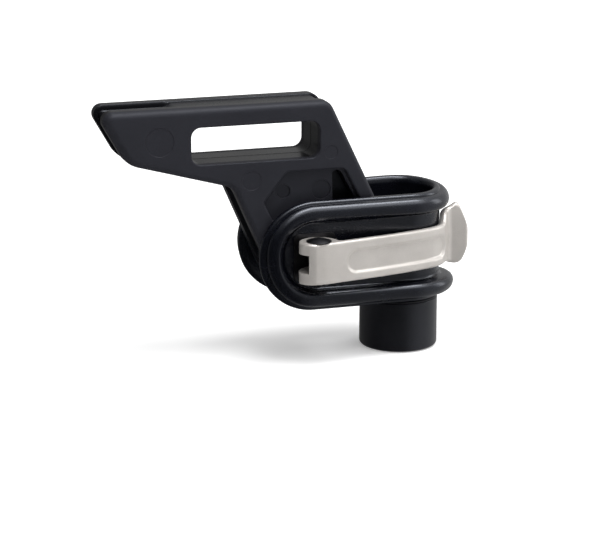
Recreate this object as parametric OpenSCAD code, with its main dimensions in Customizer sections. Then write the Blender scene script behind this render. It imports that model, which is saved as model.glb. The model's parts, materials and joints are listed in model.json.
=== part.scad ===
// Swivel bracket: a swivelling, tilting arm on a stand sleeve, locked by one cam lever.
// Millimetres. The origin is on the sleeve's axis at its foot, +Z up, and the arm reaches to -X.

/* [Stand sleeve] */
// Outer radius of the sleeve, which drops into a 1-1/8 in receiver
sleeve_r = 14; // [13.5:0.1:14.5]
// Radius of the socket for a 5/8 in stud
socket_r = 8.1; // [8:0.05:8.6]
// Depth of the socket
socket_depth = 40; // [34:1:41]
// Radius of the neck inside the collar
neck_r = 10; // [9.8:0.1:10]

/* [Collar] */
// Height of the tilt axis above the foot
pivot_z = 38.3; // [38:0.1:39]
// Distance from the sleeve's axis to the tilt axis
pivot_reach = 36.5; // [34:0.5:40]
// Inner radius of the ring, and half the gap between the ears
bore_r = 11.4; // [11.4:0.05:11.6]
// Thickness of the collar's wall
wall_t = 3; // [2.6:0.1:3.2]
// Radius of the ears
ear_r = 19.6; // [19:0.1:20]
// Outer radius of the upper lip
lip_top_r = 17.5; // [17:0.1:18]
// Outer radius of the lower lip
lip_low_r = 19.7; // [19:0.1:20]

/* [Arm] */
// Half the arm's thickness
arm_half = 11.15; // [10.8:0.05:11.15]
// Height of the arm's top edge
arm_top_z = 92.4; // [91:0.1:94]
// Distance from the sleeve's axis to the arm's sharp far corner
arm_reach = 112; // [105:0.5:116]
// Width of the groove that runs round the arm's edge
groove_w = 9.6; // [8:0.2:11]
// Depth of the shallow part of the pockets in the arm's faces
pocket_depth = 2.3; // [1:0.1:2.5]
// Length of the window
window_w = 46.7; // [40:0.1:48]
// Height of the window
window_h = 13.7; // [12:0.1:14.5]

/* [Lever] */
// Height of the lever's blade
lever_h = 14.7; // [13:0.1:15.5]
// Thickness of the lever's blade
blade_t = 2.6; // [2.2:0.1:2.6]
// Radius of the blade's outer face where it wraps the ring
blade_r = 17.5; // [17.4:0.05:17.8]
// Radius of the cam
cam_r = 6.8; // [6.4:0.1:6.8]
// Offset of the cam's centre from its pin
cam_throw = 0.5; // [0.3:0.05:0.5]

/* [Tie bolt] */
// Radius of the tie bolt's shank
bolt_r = 3; // [2.9:0.05:3]
// Radius of the lever's pin
pin_r = 2; // [1.8:0.1:2.2]

/* [Hidden] */

fine = 96;
slack = 0.1;
shoulder_z = 18;
neck_top_z = 46.6;
foot_round = 1.2;
neck_chamfer = 0.8;
liner_fit = 0.07;
ring_fit = 0.02;
washer_inset = 0.2;
washer_t = 0.6;
liner_top_z = 42.4;
ledge_low_z = 42.6;
ledge_top_z = 43.8;
ledge_r = neck_r + 0.2;
ring_low_z = 44.3;
ring_t = 1.1;
ring_groove_r = neck_r - 0.7;
ring_out_r = bore_r - 0.3;

pivot_x = -pivot_reach;
wall_r = bore_r + wall_t;
collar_low_z = pivot_z - ear_r;
collar_top_z = pivot_z + ear_r;
lip_in = 13.1;
lip_out = 18.1;
lip_round = 2;
disc_r = 15.1;
disc_recess = 1;
disc_face = arm_half + 0.06;
bolt_hole_r = bolt_r + slack;

hub_r = 15.4;
bush_r = 5;
leg_slope = 64.5;
nose_slope = 60.5;
underside_slope = 15.4;
back_slope = 65.3;
underside_z = 45.92;
back_z = -76.2;
front_z = 30.3;
leg_end_x = -11.8;
hub_start = -20;
hub_steps = 16;
groove_top = 1.1;
groove_back = [2.4, 1.2];
window_left = -79.9;
window_low = 72.5;
window_round = 4;
pocket_top_z = 68.2;
boss_r = 17;
deep_depth = 7;

saddle_t = 0.4;
saddle_w = 15;
saddle_h = 17;
pin_x = pivot_x - 0.8;
pin_y = -wall_r - saddle_t - slack - cam_r - cam_throw;
blade_wrap = 62;
blade_steps = 6;
pin_fit = 0.06;
eye_r = 3.3;
eye_h = 6.1;
slot_h = 6.5;
slot_side = 3.15;
head_front = 4.3;
head_r = 4.4;
head_h = 1.25;
clip_t = 0.7;
clip_r = 3.3;
flare_in_r = 2.5;
tab_len = 5.6;
tab_drop = 2; // how far the tab's blank starts below the blade
tab_rise = 10; // how much taller that blank is
head_w = 6; // flat front of the lever's head
head_back = 2.4;
slot_left = 9; // the tie's slot, measured from the pin
slot_depth = 16;
slot_gap = 0.3;
notch_left = 13;
notch_w = 8.4;
notch_front = 9;
clip_gap = 0.6;
tab_turn = 70;

back_washer_r = 6.4;
back_washer_t = 1;
stack_gap = 0.05;
spring_r = 6;
spring_t = 0.5;
spring_rise = 0.45;
bolt_stub = 0.8;
spring_y = wall_r + back_washer_t + stack_gap;
nut_y = spring_y + spring_t + spring_rise;
nut_t = 4;
nut_af = 10;
insert_t = 1.1;

// Unit vector along v.
function unit(v) = v / norm(v);

// Arc points that round the corner q between p and s with radius r.
function corner(p, q, s, r, n) =
    let (
        a = unit(p - q),
        b = unit(s - q),
        half = acos(max(-1, min(1, a * b))) / 2,
        c = q + unit(a + b) * r / sin(half),
        from = q + a * r / tan(half) - c,
        to = q + b * r / tan(half) - c,
        a0 = atan2(from.y, from.x),
        turn = (atan2(to.y, to.x) - a0 + 540) % 360 - 180
    )
    r <= 0 ? [q] : [for (i = [0 : n]) c + r * [cos(a0 + turn * i / n), sin(a0 + turn * i / n)]];

// Closed outline through points [x, y, corner radius].
function rounded(points, n = 8) =
    let (count = len(points), flat = [for (p = points) [p.x, p.y]])
    [for (i = [0 : count - 1])
        each corner(flat[(i + count - 1) % count], flat[i], flat[(i + 1) % count], points[i][2], n)];

// Where the lines y = a0 + a1 x and y = b0 + b1 x cross, with a corner radius.
function cross_at(a0, a1, b0, b1, r) =
    let (x = (b0 - a0) / (a1 - b1)) [x, a0 + a1 * x, r];

// Turns a child drawn in X and Y, extruded up, to lie in X and Z, extruded from y = -half to half.
module slab(half) {
    rotate([90, 0, 0]) linear_extrude(2 * half, center = true) children();
}

// Cylinder along Y between two depths, on the tilt axis.
module pivot_cyl(r, y0, y1) {
    translate([pivot_x, y0, pivot_z]) rotate([-90, 0, 0]) cylinder(r = r, h = y1 - y0, $fn = fine);
}

module ring(r_in, r_out, z0, z1) {
    translate([0, 0, z0]) difference() {
        cylinder(r = r_out, h = z1 - z0, $fn = fine);
        translate([0, 0, -1]) cylinder(r = r_in, h = z1 - z0 + 2, $fn = fine);
    }
}

module swivel_sleeve() {
    color([0.07, 0.07, 0.08]) rotate_extrude($fn = fine) polygon(concat(
        [[socket_r, 0]],
        corner([0, 0], [sleeve_r, 0], [sleeve_r, shoulder_z], foot_round, 6),
        [
            [sleeve_r, shoulder_z],
            [neck_r, shoulder_z],
            [neck_r, ring_low_z],
            [ring_groove_r, ring_low_z],
            [ring_groove_r, ring_low_z + ring_t],
            [neck_r, ring_low_z + ring_t],
            [neck_r, neck_top_z - neck_chamfer],
            [neck_r - neck_chamfer, neck_top_z],
            [0, neck_top_z],
            [0, socket_depth],
            [socket_r, socket_depth]
        ]
    ));
}

module neck_liner() {
    color([0.75, 0.74, 0.68]) ring(neck_r + ring_fit, bore_r - liner_fit, shoulder_z + washer_t + slack, liner_top_z);
}

module lower_thrust_washer() {
    color([0.75, 0.74, 0.68]) ring(neck_r + ring_fit, sleeve_r - washer_inset, shoulder_z, shoulder_z + washer_t);
}

module upper_thrust_washer() {
    color([0.75, 0.74, 0.68]) ring(neck_r + ring_fit, ring_out_r, ledge_top_z + stack_gap, ring_low_z);
}

module retaining_ring() {
    gap_angle = 36;
    color([0.25, 0.25, 0.27]) translate([0, 0, ring_low_z]) rotate([0, 0, 180 + gap_angle / 2])
        rotate_extrude(angle = 360 - gap_angle, $fn = fine)
            translate([ring_groove_r, 0]) square([ring_out_r - ring_groove_r, ring_t]);
}

// Plan of the collar out to distance r from the ring's axis and from its middle plane.
module collar_plan(r) {
    circle(r = r, $fn = fine);
    translate([pivot_x - ear_r - 1, -r]) square([ear_r + 1 - pivot_x, 2 * r]);
}

// Side view of the ears and the ring's height, rounded at the ear end.
module collar_side(r) {
    translate([pivot_x, pivot_z]) circle(r = r, $fn = fine);
    translate([pivot_x, pivot_z - r]) square([lip_low_r + 1 - pivot_x, 2 * r]);
}

module lip_section(out, low, high) {
    polygon(rounded([
        [wall_r - 0.2, low, 0],
        [out, low, 1.5],
        [out, high, lip_round],
        [wall_r - 0.2, high, 0]
    ], 6));
}

// One lip round the ring and along both ears.
module lip(out, low, high) {
    rotate([0, 0, -90]) rotate_extrude(angle = 180, $fn = fine) lip_section(out, low, high);
    for (side = [0, 1]) mirror([0, side, 0])
        translate([pivot_x, 0, 0]) rotate([90, 0, 90]) linear_extrude(-pivot_x)
            lip_section(out, low, high);
}

// The lip's turn round the end of one ear, sloping outwards from the upper lip to the lower.
module lip_end() {
    difference() {
        translate([pivot_x, 0, pivot_z]) rotate([-90, 0, 0]) rotate([0, 0, 90])
            rotate_extrude(angle = 180, $fn = fine) polygon(rounded([
                [lip_in, wall_r - 0.2, 0],
                [lip_out, wall_r - 0.2, 0],
                [lip_out, lip_low_r, lip_round],
                [lip_in, lip_low_r, 1.5]
            ], 6));
        translate([pivot_x - ear_r - 1, 0, 0]) rotate([90, 0, 90]) linear_extrude(ear_r + 2)
            polygon([
                [lip_top_r, pivot_z + lip_out],
                [lip_low_r, pivot_z - lip_out],
                [lip_low_r + 6, pivot_z - lip_out],
                [lip_low_r + 6, pivot_z + lip_out + 6],
                [lip_top_r, pivot_z + lip_out + 6]
            ]);
    }
}

module collar_strap() {
    color([0.06, 0.06, 0.07]) difference() {
        union() {
            intersection() {
                translate([0, 0, collar_low_z]) linear_extrude(2 * ear_r) difference() {
                    collar_plan(wall_r);
                    collar_plan(bore_r);
                }
                slab(lip_low_r) collar_side(ear_r);
            }
            lip(lip_top_r, pivot_z + lip_in, pivot_z + lip_out);
            lip(lip_low_r, pivot_z - lip_out, pivot_z - lip_in);
            for (side = [0, 1]) mirror([0, side, 0]) lip_end();
            rotate([0, 0, -90]) rotate_extrude(angle = 180, $fn = fine)
                translate([ledge_r, ledge_low_z]) square([bore_r + 1 - ledge_r, ledge_top_z - ledge_low_z]);
        }
        pivot_cyl(bolt_hole_r, -wall_r - 1, wall_r + 1);
        pivot_cyl(disc_r + 0.1, -bore_r - disc_recess, bore_r + disc_recess);
    }
}

module friction_disc(side) {
    y0 = side > 0 ? disc_face : -bore_r - disc_recess;
    difference() {
        pivot_cyl(disc_r, y0, y0 + bore_r + disc_recess - disc_face);
        pivot_cyl(bolt_r + 0.5, y0 - 1, y0 + 3);
    }
}

module friction_disc_front() {
    color([0.28, 0.22, 0.16]) friction_disc(-1);
}

module friction_disc_rear() {
    color([0.28, 0.22, 0.16]) friction_disc(1);
}

module cam_saddle() {
    color([0.12, 0.12, 0.13]) difference() {
        translate([pivot_x - saddle_w / 2, -wall_r - saddle_t, pivot_z - saddle_h / 2])
            cube([saddle_w, saddle_t, saddle_h]);
        pivot_cyl(bolt_hole_r, -wall_r - 2, -wall_r + 1);
    }
}

module rear_washer() {
    color([0.7, 0.7, 0.72]) difference() {
        pivot_cyl(back_washer_r, wall_r, wall_r + back_washer_t);
        pivot_cyl(bolt_hole_r, wall_r - 1, wall_r + 2);
    }
}

module tie_bolt() {
    shank_end = nut_y + nut_t + bolt_stub - stack_gap;
    color([0.65, 0.65, 0.68]) difference() {
        union() {
            translate([pivot_x, pin_y, pivot_z]) rotate([-90, 0, 0])
                cylinder(r = bolt_r, h = shank_end - pin_y, $fn = fine);
            translate([pin_x, pin_y, pivot_z - eye_h / 2]) cylinder(r = eye_r, h = eye_h, $fn = fine);
        }
        translate([pin_x, pin_y, pivot_z - eye_h]) cylinder(r = pin_r + pin_fit, h = 2 * eye_h, $fn = fine);
    }
}

module disc_spring() {
    color([0.35, 0.36, 0.4]) translate([pivot_x, spring_y, pivot_z]) rotate([-90, 0, 0])
        rotate_extrude($fn = fine) polygon([
            [bolt_hole_r, spring_rise],
            [spring_r, 0],
            [spring_r, spring_t],
            [bolt_hole_r, spring_rise + spring_t]
        ]);
}

module rear_nut() {
    color([0.75, 0.75, 0.78]) difference() {
        translate([pivot_x, nut_y, pivot_z]) rotate([-90, 0, 0])
            cylinder(r = nut_af / 2 / cos(30), h = nut_t, $fn = 6);
        pivot_cyl(bolt_r + ring_fit, nut_y - 1, nut_y + nut_t + 1);
        pivot_cyl(bolt_r + 1, nut_y + nut_t - insert_t, nut_y + nut_t + 1);
    }
}

module nut_insert() {
    base = nut_y + nut_t - insert_t;
    color([0.2, 0.35, 0.6]) difference() {
        pivot_cyl(bolt_r + 1 - ring_fit, base, base + insert_t - slack);
        pivot_cyl(bolt_r + ring_fit, base - 1, base + insert_t + 1);
    }
}

// Point on the smooth curve through p1 and p2, between its neighbours p0 and p3.
function curve_point(p0, p1, p2, p3, t) =
    0.5 * (2 * p1 + (p2 - p0) * t + (2 * p0 - 5 * p1 + 4 * p2 - p3) * t * t
        + (3 * p1 - p0 - 3 * p2 + p3) * t * t * t);

// Smooth curve through a row of points.
function curve(p, n) =
    let (last = len(p) - 1)
    [
        for (i = [0 : last - 1]) for (k = [0 : n - 1])
            curve_point(p[max(0, i - 1)], p[i], p[i + 1], p[min(last, i + 2)], k / n),
        p[last]
    ];

// The same line, moved to its left by d.
function moved(line, d) =
    let (last = len(line) - 1)
    [for (i = [0 : last])
        let (way = unit(line[min(last, i + 1)] - line[max(0, i - 1)]))
        line[i] + d * [-way.y, way.x]];

function reversed(line) = [for (i = [len(line) - 1 : -1 : 0]) line[i]];

// Outer face of the blade in plan, from the cam along to the wrap's end.
function blade_line() = concat(
    curve([
        [pin_x + 1, pin_y - head_front + 0.25],
        [-28.5, -24.75],
        [-22.8, -23.65],
        [-15, -22.1],
        [-7, -20.3],
        [1.3, -18.05],
        blade_r * [sin(24), -cos(24)]
    ], blade_steps),
    [for (a = [28 : 4 : blade_wrap - 2]) blade_r * [sin(a), -cos(a)]],
    [blade_r * [sin(blade_wrap), -cos(blade_wrap)]]
);

module blade_plan() {
    polygon(concat(blade_line(), reversed(moved(blade_line(), blade_t))));
}

// The rest of the outer face in plan: a reverse curve, then a short straight end.
function flare_line() =
    let (
        c = (blade_r + flare_in_r) * [sin(blade_wrap), -cos(blade_wrap)],
        a0 = blade_wrap + 90,
        a1 = a0 - tab_turn
    )
    concat(
        [for (i = [1 : 8]) c + flare_in_r * [cos(a0 - tab_turn * i / 8), sin(a0 - tab_turn * i / 8)]],
        [c + flare_in_r * [cos(a1), sin(a1)] + tab_len * [sin(a1), -cos(a1)]]
    );

module flare_plan() {
    line = concat(blade_line(), flare_line());
    polygon(concat(line, reversed(moved(line, blade_t))));
}

// Front view of the finger tab, which stands above the blade like a fin.
module tab_side() {
    polygon(rounded([
        [8, pivot_z - lever_h / 2, 0],
        [17, pivot_z - 8.2, 6],
        [22.5, pivot_z - 7.6, 3],
        [24.6, pivot_z + 3, 9],
        [20.6, pivot_z + 13.6, 1.5],
        [15.6, pivot_z + lever_h / 2, 5],
        [8, pivot_z + lever_h / 2, 0]
    ]));
}

module lever() {
    low = pivot_z - lever_h / 2;
    color([0.72, 0.71, 0.69]) difference() {
        union() {
            translate([0, 0, low]) linear_extrude(lever_h) blade_plan();
            intersection() {
                translate([0, 0, low - tab_drop]) linear_extrude(lever_h + tab_rise) flare_plan();
                slab(30) tab_side();
            }
            translate([0, 0, low]) linear_extrude(lever_h) difference() {
                union() {
                    translate([pin_x, pin_y + cam_throw]) circle(r = cam_r, $fn = fine);
                    translate([pin_x, pin_y - head_front]) square([head_w, head_front + head_back]);
                }
                translate([pin_x - 2 * head_w, pin_y - 3 * head_front])
                    square([4 * head_w, 2 * head_front]);
            }
        }
        translate([pin_x - slot_left, pin_y - slot_side, pivot_z - slot_h / 2])
            cube([pivot_x + bolt_r + slot_gap - pin_x + slot_left, slot_depth, slot_h]);
        translate([pin_x, pin_y, pivot_z - slot_h / 2]) cylinder(r = eye_r + slot_gap, h = slot_h, $fn = fine);
        translate([pin_x - notch_left, pin_y - notch_front, pivot_z - slot_h / 2])
            cube([notch_w, slot_depth, slot_h]);
        translate([pin_x, pin_y, low - 1]) cylinder(r = pin_r, h = lever_h + 2, $fn = fine);
    }
}

module lever_pin() {
    top = pivot_z + lever_h / 2;
    dome_r = (head_r * head_r + head_h * head_h) / (2 * head_h);
    low = pivot_z - lever_h / 2 - clip_t - clip_gap;
    dome_half = asin(head_r / dome_r);
    color([0.8, 0.8, 0.82]) translate([pin_x, pin_y, 0]) rotate_extrude($fn = fine) polygon(concat(
        [[0, low], [pin_r, low], [pin_r, top], [head_r, top]],
        [for (i = [0 : 7]) let (a = dome_half * (1 - i / 7))
            [dome_r * sin(a), top + head_h - dome_r + dome_r * cos(a)]]
    ));
}

module lever_pin_clip() {
    color([0.4, 0.4, 0.43]) translate([pin_x, pin_y, pivot_z - lever_h / 2 - clip_t - 0.05]) difference() {
        cylinder(r = clip_r, h = clip_t, $fn = fine);
        translate([0, 0, -1]) cylinder(r = pin_r, h = clip_t + 2, $fn = fine);
        translate([-1.1, -clip_r - 1, -1]) cube([2.2, clip_r + 1, clip_t + 2]);
    }
}

// Side view of the arm, from its nose down the leg and round the hub.
module arm_outline() {
    leg = -tan(leg_slope);
    nose = -tan(nose_slope);
    under = -tan(underside_slope);
    back = -tan(back_slope);
    nose_z = arm_top_z + nose * arm_reach;
    hub_end = -90 - back_slope;
    polygon(rounded(concat(
        [
            [-arm_reach, arm_top_z, 3.4],
            cross_at(arm_top_z, 0, front_z, leg, 5.5),
            [leg_end_x, front_z + leg_end_x * leg, 3.5]
        ],
        [for (i = [0 : hub_steps]) let (a = hub_start + (hub_end - hub_start) * i / hub_steps)
            [pivot_x + hub_r * cos(a), pivot_z + hub_r * sin(a), 0]],
        [
            cross_at(back_z, back, underside_z, under, 6),
            cross_at(underside_z, under, nose_z, nose, 9)
        ]
    )));
}

// The band round the arm's edge, between its two side walls, that is moulded away.
module edge_groove() {
    difference() {
        translate([-arm_reach - 5, pivot_z - 20]) square([arm_reach, arm_top_z]);
        intersection() {
            arm_outline();
            translate([0, -groove_top]) arm_outline();
            translate(groove_back) arm_outline();
        }
        translate([pivot_x, pivot_z]) circle(r = hub_r + 0.4, $fn = fine);
    }
}

// Outline of the whole pocket in the arm's face above the hub.
module pocket_outline() {
    difference() {
        polygon(rounded([
            [-45.4, pocket_top_z, 3],
            [-24.2, pocket_top_z, 3],
            [-16.9, pocket_top_z - 14.8, 1.5],
            [-24, pocket_top_z - 17.4, 0],
            [-50, pocket_top_z - 17.4, 1],
            [-53.6, pocket_top_z - 10.4, 1.5]
        ]));
        translate([pivot_x, pivot_z]) circle(r = boss_r, $fn = fine);
    }
}

// Outline of the pocket's deep part, beside the leg's outer edge.
module deep_outline() {
    difference() {
        polygon(rounded([
            [-28.2, pocket_top_z - 0.6, 1.2],
            [-24.6, pocket_top_z - 0.6, 2.5],
            [-17.6, pocket_top_z - 14.6, 1.2],
            [-28.2, pocket_top_z - 17.4, 0.5]
        ]));
        translate([pivot_x, pivot_z]) circle(r = boss_r + 0.6, $fn = fine);
    }
}

module window_outline() {
    right = window_left + window_w;
    high = window_low + window_h;
    polygon(rounded([
        [window_left, window_low, window_round],
        [right, window_low, window_round],
        [right, high, window_round],
        [window_left, high, window_round]
    ]));
}

module arm() {
    color([0.05, 0.05, 0.055]) difference() {
        slab(arm_half) arm_outline();
        slab(groove_w / 2) edge_groove();
        slab(arm_half + 1) window_outline();
        for (side = [0, 1]) mirror([0, side, 0]) {
            translate([0, pocket_depth - arm_half, 0]) rotate([90, 0, 0])
                linear_extrude(pocket_depth + 1) pocket_outline();
            translate([0, deep_depth - arm_half, 0]) rotate([90, 0, 0])
                linear_extrude(deep_depth + 1) deep_outline();
        }
        pivot_cyl(bush_r, -arm_half - 1, arm_half + 1);
    }
}

module arm_pivot_bush() {
    color([0.7, 0.6, 0.35]) difference() {
        pivot_cyl(bush_r, -arm_half, arm_half);
        pivot_cyl(bolt_hole_r, -arm_half - 1, arm_half + 1);
    }
}

swivel_sleeve();
neck_liner();
lower_thrust_washer();
upper_thrust_washer();
retaining_ring();
collar_strap();
friction_disc_front();
friction_disc_rear();
cam_saddle();
rear_washer();
tie_bolt();
disc_spring();
rear_nut();
nut_insert();
lever();
lever_pin();
lever_pin_clip();
arm();
arm_pivot_bush();
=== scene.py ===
import json
import math
import bmesh
import bpy
from mathutils import Matrix, Vector


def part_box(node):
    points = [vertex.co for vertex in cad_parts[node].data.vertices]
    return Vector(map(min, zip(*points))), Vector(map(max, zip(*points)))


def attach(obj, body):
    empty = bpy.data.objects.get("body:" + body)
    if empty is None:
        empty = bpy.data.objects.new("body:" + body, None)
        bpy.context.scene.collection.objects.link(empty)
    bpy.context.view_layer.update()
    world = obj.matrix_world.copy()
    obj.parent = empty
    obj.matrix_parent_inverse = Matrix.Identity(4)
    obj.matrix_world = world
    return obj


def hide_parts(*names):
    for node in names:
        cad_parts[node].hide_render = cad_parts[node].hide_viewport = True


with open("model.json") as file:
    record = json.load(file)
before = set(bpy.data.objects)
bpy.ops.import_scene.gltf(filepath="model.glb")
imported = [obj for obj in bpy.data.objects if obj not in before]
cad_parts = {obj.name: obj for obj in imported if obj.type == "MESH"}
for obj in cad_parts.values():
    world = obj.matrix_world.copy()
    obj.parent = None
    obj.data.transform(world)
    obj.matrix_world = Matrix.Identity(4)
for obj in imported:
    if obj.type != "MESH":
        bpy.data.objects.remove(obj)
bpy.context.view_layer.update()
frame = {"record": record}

joints = {joint["name"]: joint for joint in frame["record"]["behaviour"]["joints"]}
mm = 0.001
tilt = joints["tilt"]["pos_m"]
hinge = joints["lever_open"]["pos_m"]
pivotX, pivotZ = tilt[0] / mm, tilt[2] / mm  # the tilt axis, in millimetres like every piece below
pinX, pinY = hinge[0] / mm, hinge[1] / mm


def sizes(node):
    low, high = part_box(node)
    return [value / mm for value in low], [value / mm for value in high]


# camera

view = dict(place=(-0.28383, -0.77926, 0.24673), aim=(-0.037893, 0.0, 0.026235), lens=144.0, film=36.0)

cameraData = bpy.data.cameras.new("benchCamera")
cameraData.lens = view["lens"]
cameraData.sensor_width = view["film"]
cameraData.clip_start = 0.01
camera = bpy.data.objects.new("benchCamera", cameraData)
camera.location = view["place"]
camera.rotation_euler = (Vector(view["aim"]) - Vector(view["place"])).to_track_quat("-Z", "Y").to_euler()
bpy.context.collection.objects.link(camera)
bpy.context.scene.camera = camera
print("camera set")


# shader maths

class Wire:
    # a socket that can be used in sums: value sockets go through Math, vectors through Vector Math
    def __init__(self, maker, socket):
        self.maker = maker
        self.socket = socket
        self.flat = socket.type == "VALUE"

    def join(self, operation, other, swap=False):
        first, second = (other, self) if swap else (self, other)
        kind = "ShaderNodeMath" if self.flat else "ShaderNodeVectorMath"
        return self.maker.make(kind, dict(operation=operation), {0: first, 1: second})

    def __add__(self, other): return self.join("ADD", other)
    def __radd__(self, other): return self.join("ADD", other, True)
    def __sub__(self, other): return self.join("SUBTRACT", other)
    def __rsub__(self, other): return self.join("SUBTRACT", other, True)
    def __mul__(self, other): return self.join("MULTIPLY", other)
    def __rmul__(self, other): return self.join("MULTIPLY", other, True)


class NodeMaker:
    # makes the nodes of one material or of the air
    def __init__(self, tree):
        self.tree = tree

    def make(self, kind, settings, values, output=0):
        node = self.tree.nodes.new(kind)
        for key, value in settings.items():
            setattr(node, key, value)
        for key, value in values.items():
            if isinstance(value, Wire):
                self.tree.links.new(value.socket, node.inputs[key])
            else:
                node.inputs[key].default_value = value
        return Wire(self, node.outputs[output])

    def ramp(self, value, low, high, start=0.0, end=1.0):
        return self.make("ShaderNodeMapRange", dict(interpolation_type="SMOOTHSTEP"),
                         {"Value": value, "From Min": low, "From Max": high, "To Min": start, "To Max": end})

    def along(self, vector, axis):
        return self.make("ShaderNodeSeparateXYZ", {}, {0: vector}, axis)


class Finish(NodeMaker):
    # one material with its shader; place is where a point lies on the piece, in metres
    def __init__(self, name, **fixed):
        self.material = bpy.data.materials.new(name)
        self.material.use_nodes = True
        super().__init__(self.material.node_tree)
        self.shader = self.tree.nodes["Principled BSDF"]
        for socket, value in fixed.items():
            self.shader.inputs[socket.replace("_", " ")].default_value = value
        self.place = self.make("ShaderNodeTexCoord", {}, {}, "Object")

    def noise(self, perMetre, detail=2.0, rough=0.5, stretch=None):
        where = self.place * stretch if stretch else self.place
        return self.make("ShaderNodeTexNoise", {},
                         {"Vector": where, "Scale": perMetre, "Detail": detail, "Roughness": rough})

    def blend(self, amount, first, second):
        first, second = [shade if isinstance(shade, Wire) else (*shade, 1) for shade in (first, second)]
        return self.make("ShaderNodeMix", dict(data_type="RGBA"), {0: amount, 6: first, 7: second}, 2)

    def bump(self, height, depth, strength=1.0, under=None):
        values = {"Strength": strength, "Distance": depth, "Height": height}
        if under:
            values["Normal"] = under
        return self.make("ShaderNodeBump", {}, values)

    def feed(self, socket, value):
        self.tree.links.new(value.socket, self.shader.inputs[socket])


def mouldedNylon(name, dark, light, gloss, grainDepth, grainSize, smudge, shine=0.34, face=None):
    # face, if given, is (y in mm, lighter colour): past that distance from the middle the mould was etched and
    # the faces take the lighter colour, while the recesses nearer the middle keep the dark colours as painted
    # shade
    f = Finish(name, Metallic=0.0, IOR=1.5, Specular_IOR_Level=shine, Specular_Tint=(0.86, 0.90, 1.0, 1.0))
    grain = f.noise(1 / (grainSize * mm), 3.0, 0.6)
    cloud = f.noise(55.0, 3.0, 0.55)
    flow = f.noise(420.0, 2.0, 0.5, (0.35, 1.0, 1.0))
    fibre = f.ramp(f.noise(2600.0, 1.0, 0.4, (0.3, 1.0, 1.0)), 0.6, 0.75)
    tint = f.blend(f.ramp(cloud * 0.6 + grain * 0.4, 0.35, 0.65), dark, light)
    rough = gloss + (cloud - 0.5) * smudge + (flow - 0.5) * smudge * 0.6 - fibre * 0.04
    if face:
        outwards = f.make("ShaderNodeMath", dict(operation="ABSOLUTE"), {0: f.along(f.place, "Y")})
        etchedFacesOverPaintedShade = f.ramp(outwards, (face[0] - 1.3) * mm, face[0] * mm)
        darker = tuple(value * 0.78 for value in face[1])
        paler = f.blend(f.ramp(grain * 0.7 + cloud * 0.3, 0.35, 0.65), darker, face[1])
        # painted shade: the recesses stay far darker in colour than the etched faces; only the roughness and
        # grain changes belong to the etch
        tint = f.blend(etchedFacesOverPaintedShade, tint, paler)
        rough = rough + etchedFacesOverPaintedShade * 0.24
        grain = grain * (etchedFacesOverPaintedShade * 0.8 + 0.2)  # the recesses are smoother than the etched faces
    f.feed("Base Color", tint)
    f.feed("Roughness", rough)
    fine = f.bump(grain, grainDepth * mm)
    f.feed("Normal", f.bump(flow, grainDepth * 1.5 * mm, 0.35, fine))
    return f.material


def blastedPlate(name):
    f = Finish(name, Metallic=0.5)
    blast = f.noise(5200.0, 2.0, 0.6)
    pits = f.ramp(f.noise(2100.0, 1.0, 0.5), 0.62, 0.8)
    cloud = f.noise(70.0, 3.0, 0.6)
    speckle = f.ramp(cloud * 0.55 + blast * 0.45, 0.34, 0.66)
    f.feed("Base Color", f.blend(speckle, (0.50, 0.474, 0.448), (0.60, 0.569, 0.538)))
    f.feed("Roughness", 0.33 + (cloud - 0.5) * 0.12 + (blast - 0.5) * 0.16 + pits * 0.06)
    fine = f.bump(blast, 0.022 * mm)
    f.feed("Normal", f.bump(pits, 0.02 * mm, 0.5, fine))
    return f.material


def turnedSteel(name, tint, gloss, lines):
    f = Finish(name, Metallic=1.0)
    streak = f.noise(900.0, 2.0, 0.6, lines)
    spots = f.ramp(f.noise(260.0, 3.0, 0.6), 0.55, 0.75)
    darker = tuple(value * 0.72 for value in tint)
    f.feed("Base Color", f.blend(spots * 0.5, tint, darker))
    f.feed("Roughness", gloss + (streak - 0.5) * 0.16 + spots * 0.08)
    f.feed("Normal", f.bump(streak, 0.01 * mm, 0.6))
    return f.material


def softSolid(name, dark, light, gloss, grainSize, grainDepth, metal=0.0):
    f = Finish(name, Metallic=metal)
    grain = f.noise(1 / (grainSize * mm), 3.0, 0.65)
    cloud = f.noise(140.0, 3.0, 0.6)
    f.feed("Base Color", f.blend(f.ramp(cloud * 0.5 + grain * 0.5, 0.35, 0.65), dark, light))
    f.feed("Roughness", gloss + (cloud - 0.5) * 0.16)
    f.feed("Normal", f.bump(grain, grainDepth * mm))
    return f.material


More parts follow.
